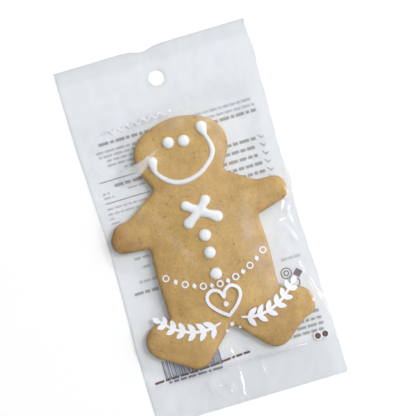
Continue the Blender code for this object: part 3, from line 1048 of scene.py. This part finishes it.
def biscuit_material():
    """Baked ginger dough: mottled tan with spice specks, pores, a browner edge and painted shade in
    patches on its left side.
    """
    n = material_nodes("biscuit_dough")
    mottle = n.noise(15.0, 4.0, 0.5)
    colour = n.ramp(mottle, *((position, linear(*tone)) for position, tone in DOUGH_TONES))
    for size, dark, share in GRAIN:
        stops = (0.34, (dark, dark * 0.97, dark * 0.93)), (0.60, (1.0, 1.0, 1.0))
        colour = n.mix(share, colour, n.ramp(n.noise(size, 2.0, 0.6), *stops), "MULTIPLY")
    for size, share, reach, tone, seed in SPECKS:
        colour = n.mix(spice(n, size, share, reach, seed), colour, linear(*tone))
    # browning, and painted shade on the side away from the lamp, darken the dough
    colour = n.mix(n.mark("browning_and_shade"), colour, BROWN_AND_SHADE_TINT, "MULTIPLY")
    pores = n.maths("MULTIPLY", n.cells(n.place(), 1.5)["Distance"], 3.2)
    rough = n.maths("ADD", n.noise(0.55, 5.0, 0.65), n.maths("MINIMUM", pores, 1.0))
    n.surface(base_color=colour, roughness=0.72, specular_ior_level=0.3)
    n.surface(normal=n.bump(rough, 0.55, 0.12))
    n.scatter(0.3, (1.0, 0.7, 0.45), 1.4)
    return n.owner


def spice(n, spacing_mm, share, reach, seed):
    """Ground spice: soft dots of uneven size in some cells of a loose grid."""
    moved = n.add("VectorMath", {0: n.place(), 1: (seed, seed / 3.0, 0.0)}, operation="ADD")
    cells = n.cells(moved.outputs[0], spacing_mm, voronoi_dimensions="2D")
    parts = n.add("SeparateColor", {0: cells["Color"]}).outputs
    wanted = n.maths("LESS_THAN", parts[0], share)
    size = n.maths("MULTIPLY", n.maths("ADD", parts[1], 0.5), reach / 1.5)
    dot = n.maths("SUBTRACT", 1.0, n.maths("DIVIDE", cells["Distance"], size))
    dot = n.maths("MULTIPLY", dot, 2.0, clamp=True)
    return n.maths("MULTIPLY", n.maths("MULTIPLY", dot, wanted), parts[2])


def icing_material():
    """Set sugar icing: cold white, smooth with the faintest grain."""
    n = material_nodes("set_icing")
    tone = n.ramp(n.noise(3.0, 2.0), (0.35, (0.80, 0.81, 0.82)), (0.65, (0.84, 0.85, 0.86)))
    n.surface(base_color=tone, roughness=0.42, normal=n.bump(n.noise(0.7, 3.0), 0.25, 0.05))
    n.scatter(1.0, (1.0, 1.0, 1.0), 2.2)
    return n.owner


def ink_material(name, colour):
    """Flat printing ink, faintly uneven where it was pressed on."""
    n = material_nodes(name)
    base = linear(*colour)
    thin = tuple(min(1.0, c * 1.08 + 0.01) for c in base)
    tone = n.ramp(n.noise(0.8, 3.0), (0.35, base), (0.65, thin))
    n.surface(base_color=tone, roughness=0.55, specular_ior_level=0.2)
    return n.owner


def film_material(name, haze_and_sheen, tint, shine_share=1.0):
    """Clear film: it lets light through, shines at a slant and holds a trace of white haze.

    With no haze given, the haze with its painted sheen, and a grey shade with some painted shadow, are
    read from the mesh.
    """
    n = material_nodes(name)
    n.tree.nodes.remove(n.shader)
    normal = n.bump(n.noise(6.0, 3.0, 0.6), 0.35, 0.10)
    slant = n.add("LayerWeight", {"Blend": 0.5, "Normal": normal}).outputs["Facing"]
    shining = n.maths("MULTIPLY", n.maths("POWER", slant, 5.0), shine_share * (1.0 - STRAIGHT_SHINE))
    fresnel = n.maths("ADD", shining, shine_share * STRAIGHT_SHINE)
    clear_colour = (*tint, 1.0)
    if haze_and_sheen is None:
        # painted sheen comes in with the haze share, painted shadow and shade with the grey shade
        haze_and_sheen = n.mark("haze_and_sheen")
        clear_colour = n.ramp(n.mark("shade"), (0.0, tint), (1.0, (0.0, 0.0, 0.0)))
    clear = n.add("BsdfTransparent", {"Color": clear_colour}).outputs[0]
    shine = n.add("BsdfGlossy", {"Roughness": 0.10, "Normal": normal}).outputs[0]
    cloudy = n.ramp(n.noise(24.0, 2.0, 0.5), (0.42, (0.90, 0.95, 0.95)), (0.58, (0.93, 0.93, 0.99)))
    veil = n.add("BsdfDiffuse", {"Color": cloudy}).outputs[0]
    body = n.add("MixShader", {0: haze_and_sheen, 1: clear, 2: veil}).outputs[0]
    film = n.add("MixShader", {0: fresnel, 1: body, 2: shine}).outputs[0]
    n.put(n.tree.nodes["Material Output"].inputs["Surface"], film)
    return n.owner


# Painted sheen on the front film, pale patches where it would reflect the bright side of the room: how
# much, centre x and y, reach across and up, and lean.
SHEEN_PATCHES = (
    (0.100, 23.5, -24.0, 4.6, 24.0, 3.0),
    (0.060, 21.0, -6.0, 3.6, 12.0, -14.0),
    (0.030, 10.0, 4.0, 12.0, 2.2, -22.0),
    (0.068, 19.8, 36.0, 3.4, 14.0, 4.0),
    (0.110, 5.0, 52.5, 9.0, 3.6, 8.0),
    (0.110, 16.5, 50.0, 4.5, 2.6, -40.0),
    (0.080, -29.0, 13.5, 3.0, 2.0, 20.0),
    (0.050, -12.0, -10.0, 2.0, 16.0, 30.0),
    (0.050, 38.0, -28.0, 8.0, 16.0, 0.0),
    (0.040, 39.0, 42.0, 6.0, 14.0, 10.0),
)
SEAL_HAZE = 0.012
PLAIN_HAZE = 0.007
HAZE_SWELLS = ((0.004, 11.0, 33, 1.0), (0.003, 3.5, 34, 1.0))
# How the patches of painted sheen break into wisps
SHEEN_WISPS = ((0.35, 8.0, 31, 1.0), (0.2, 2.8, 32, 1.0))
# Where the film looks a little greyer, with painted shadow beside the left flank and painted shade
# along the crease above the bottom seal: how much, centre x and y, reach across and up.
GREYER_AND_SHADOWED = (
    (0.010, 28.0, 60.0, 18.0, 7.0),
    (0.018, 37.5, 27.0, 5.0, 16.0),
    (0.014, 33.0, -28.0, 4.0, 9.0),
    (0.020, -12.0, -72.6, 34.0, 1.6),
    (0.030, -31.0, -25.0, 2.6, 16.0),
)
# How grey the pouch is, its neck on top of that, and the bottom seal.
POUCH_SHADE = 0.004
NECK_SHADE = 0.008
SEAL_SHADE = 0.028
JAW_SHADE = 0.020  # of the strip along the header's cut edge, where the seal's jaw ended
SHADE_SWELLS = ((0.004, 9.0, 41, 1.0), (0.003, 3.0, 42, 0.5))

# Where the dough is darker: browned where it took more heat, and painted shade on the side away from
# the lamp, most on the left hand, toe and heel: how much, centre x and y, and reach.
BROWNED_AND_SHADED = (
    (0.60, -40.0, 1.0, 10.0),
    (0.42, -38.0, -49.0, 8.0),
    (0.32, -24.0, -66.0, 9.0),
    (0.26, 26.0, -56.0, 9.0),
    (0.26, 0.5, 15.0, 9.0),
    (0.16, -23.0, -34.0, 8.0),
    (0.12, 6.0, -20.0, 9.0),
    (0.15, 24.0, -66.0, 9.0),
    (0.20, 33.0, 0.0, 7.0),
    (0.09, 0.0, -14.0, 26.0),
)


def places_mm(piece):
    """A piece's points in millimetres, as rows of x, y and z."""
    return (np.array([v.co for v in piece.data.vertices]) / MM).T


def store(piece, name, values):
    """Keeps a share of 0 to 1 for each of a piece's points, for its material."""
    layer = piece.data.attributes.new(name, "FLOAT", "POINT")
    layer.data.foreach_set("value", np.clip(values, 0.0, 1.0).astype(np.float32))


def paint_shade(film, shape, outline):
    """How grey each place of the front film is, with painted shadow beside the left flank and painted
    shade along a crease.
    """
    x, y, _ = places_mm(film)
    top_y = shape.half_length
    header_y, seal_y = top_y - HEADER_LENGTH, BOTTOM_SEAL_LENGTH - top_y
    outside = fade(-depth_inside(outline, x, y), 0.0, 2.0)
    neck = fade(y, 42.0, 52.0) * (1.0 - fade(y, header_y - 2.0, header_y + 0.5))
    shade = (POUCH_SHADE + NECK_SHADE * neck) * (1.0 - fade(x, 40.0, 45.0)) * outside
    seal = 1.0 - 0.7 * fade(x, 39.0, 46.0) - 0.35 * (1.0 - fade(x, -36.0, -22.0))
    shade += SEAL_SHADE * (1.0 - fade(y, seal_y + 0.5, seal_y + 3.0)) * seal
    shade += JAW_SHADE * fade(y, top_y - 7.5, top_y - 6.0)
    # greyer patches, among them painted shadow beside the left flank and painted shade along the crease
    # above the bottom seal
    for amount, *ellipse in GREYER_AND_SHADOWED:
        shade += amount * np.exp(-(blob(x, y, *ellipse) ** 2)) * outside
    store(film, "shade", shade + swells(x, y, SHADE_SWELLS))


def paint_haze_and_sheen(film, shape):
    """How milky each place of the front film is, plus painted sheen where it would reflect the bright
    side of the room, and a painted reflection on the cheek fold.
    """
    x, y, _ = places_mm(film)
    haze_and_sheen = np.full(len(x), PLAIN_HAZE)
    sheen_wisps = np.clip(1.0 + swells(x, y, SHEEN_WISPS), 0.0, 2.0)
    # painted sheen: pale patches where the film would reflect the bright side of the room
    for amount, *ellipse in SHEEN_PATCHES:
        haze_and_sheen += amount / 2.0 * np.exp(-(blob(x, y, *ellipse) ** 1.5)) * sheen_wisps
    # painted reflection: the cheek fold's film is whitened as if its flat face caught the light
    fold = depth_inside(np.array(CHEEK_FOLD), x, y)
    along_fold = (0.1 + 0.9 * fade(x, -27.5, -22.0)) * (1.0 - 0.4 * fade(x, -16.5, -14.5))
    haze_and_sheen += CHEEK_FOLD_SHEEN * fade(fold, -0.3, 0.5) * along_fold
    top_y = shape.half_length
    header = fade(y - top_y + HEADER_LENGTH, -0.6, 0.6)
    haze_and_sheen += SEAL_HAZE * header * (1.0 - fade(y, top_y - 6.6, top_y - 5.4))
    store(film, "haze_and_sheen", haze_and_sheen + swells(x, y, HAZE_SWELLS))


def paint_browning_and_shade(biscuit, outline):
    """Marks where the dough is darker: browned down the sides and round the shoulders, and painted
    shade in patches on the side away from the lamp.
    """
    x, y, z = places_mm(biscuit)
    depth = depth_inside(outline, x, y)
    browning_and_shade = 0.22 * np.exp(-np.maximum(depth, 0.0) / 7.0)
    browning_and_shade += 0.2 * (1.0 - fade(z, 2.0, 6.0))
    browning_and_shade += 0.15 * swell(x, y, 9.0, 21) * (1.0 - fade(depth, 4.0, 12.0))
    # patches of browning, and painted shade on the left hand, toe, heel and flank
    for amount, cx, cy, reach in BROWNED_AND_SHADED:
        browning_and_shade += amount * np.exp(-blob(x, y, cx, cy, reach, reach))
    store(biscuit, "browning_and_shade", browning_and_shade)


# ---- stage

# The room is brighter on the side of the lamp.
BRIGHT_SIDE = (0.78, 0.30, 0.55)
DARK_WALL = 0.34
BRIGHT_WALL = 1.12
# Each lamp's place, its width and height in metres, and its power.
KEY = ((1.45, 0.40, 1.90), (1.0, 1.0), 30.0)
GLINTS = ((1.17, -0.546, 0.155), (3.1, 0.26), 36.0)


def build_stage():
    """A plain white floor under soft studio light from the right."""
    bpy.ops.mesh.primitive_plane_add(size=4.0)
    floor = bpy.context.object
    floor.name = "floor"
    paper = material_nodes("floor_paper")
    paper.surface(base_color=(0.92, 0.92, 0.92, 1.0), roughness=0.9, specular_ior_level=0.0)
    floor.data.materials.append(paper.owner)
    room = Nodes(bpy.data.worlds.new("studio"))
    direction = room.add("TexCoord").outputs["Generated"]
    towards = room.add("VectorMath", {0: direction, 1: BRIGHT_SIDE}, operation="DOT_PRODUCT")
    shares = {"Value": towards.outputs["Value"], "From Min": -0.2, "From Max": 1.0}
    walls = {"To Min": DARK_WALL, "To Max": BRIGHT_WALL}
    glow = room.add("MapRange", {**shares, **walls}, interpolation_type="SMOOTHSTEP")
    room.surface(color=(0.985, 0.99, 1.0, 1.0), strength=glow.outputs["Result"])
    bpy.context.scene.world = room.owner
    add_softbox("key", *KEY).visible_glossy = False
    glints = add_softbox("glints", *GLINTS)
    glints.visible_diffuse = False
    glints.visible_transmission = False


def add_softbox(name, place, size, power):
    """An area light, so wide and so tall, that faces the bag."""
    lamp = bpy.data.lights.new(name, "AREA")
    lamp.shape = "RECTANGLE"
    lamp.size, lamp.size_y = size
    lamp.energy = power
    softbox = bpy.data.objects.new(name, lamp)
    softbox.location = place
    direction = -softbox.location.normalized()
    softbox.rotation_euler = direction.to_track_quat("-Z", "Y").to_euler()
    bpy.context.scene.collection.objects.link(softbox)
    return softbox


# The camera: its lens and sensor in millimetres, how much it sees in metres, where and how turned.
LENS = 100.0
SENSOR = 36.0
VIEW_WIDTH = 0.208
VIEW_MIDDLE = (0.00545, 0.00604)
VIEW_TURN = math.radians(-16.6)


def build_camera():
    """A long lens that looks straight down, turned so that the bag leans to the left."""
    data = bpy.data.cameras.new("camera")
    data.lens, data.sensor_width, data.clip_start = LENS, SENSOR, 0.01
    camera = bpy.data.objects.new("camera", data)
    camera.location = (*VIEW_MIDDLE, VIEW_WIDTH * LENS / SENSOR)
    camera.rotation_euler = (0.0, 0.0, VIEW_TURN)
    bpy.context.scene.collection.objects.link(camera)
    bpy.context.scene.camera = camera


def main():
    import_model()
    scene = bpy.context.scene
    scene.view_settings.view_transform = "Standard"
    scene.cycles.transparent_max_bounces = 32
    half_width, half_length, top = np.array(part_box("bag")[1]) / MM
    shape = BagShape(half_width, half_length)
    outline = belt(OUTLINE_ARCS, OUTLINE_STEP)
    build_stage()
    build_camera()
    skin = Skin(half_width, half_length, outline, top)
    biscuit = build_biscuit(outline, biscuit_material())
    paint_browning_and_shade(biscuit, outline)
    icing = icing_material()
    for name, chains in ICING.items():
        build_icing(name, chains, outline, icing)
    front = build_film(
        shape,
        skin,
        film_material("film_clear", None, (0.990, 0.993, 0.996)),
        film_material("film_backing", 0.05, (0.978, 0.983, 0.988)),
        film_material("film_fused", 0.006, (0.998, 0.998, 0.999), 0.1),
    )
    paint_haze_and_sheen(front, shape)
    paint_shade(front, shape, outline)
    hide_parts("bag")
    build_print(skin)


main()
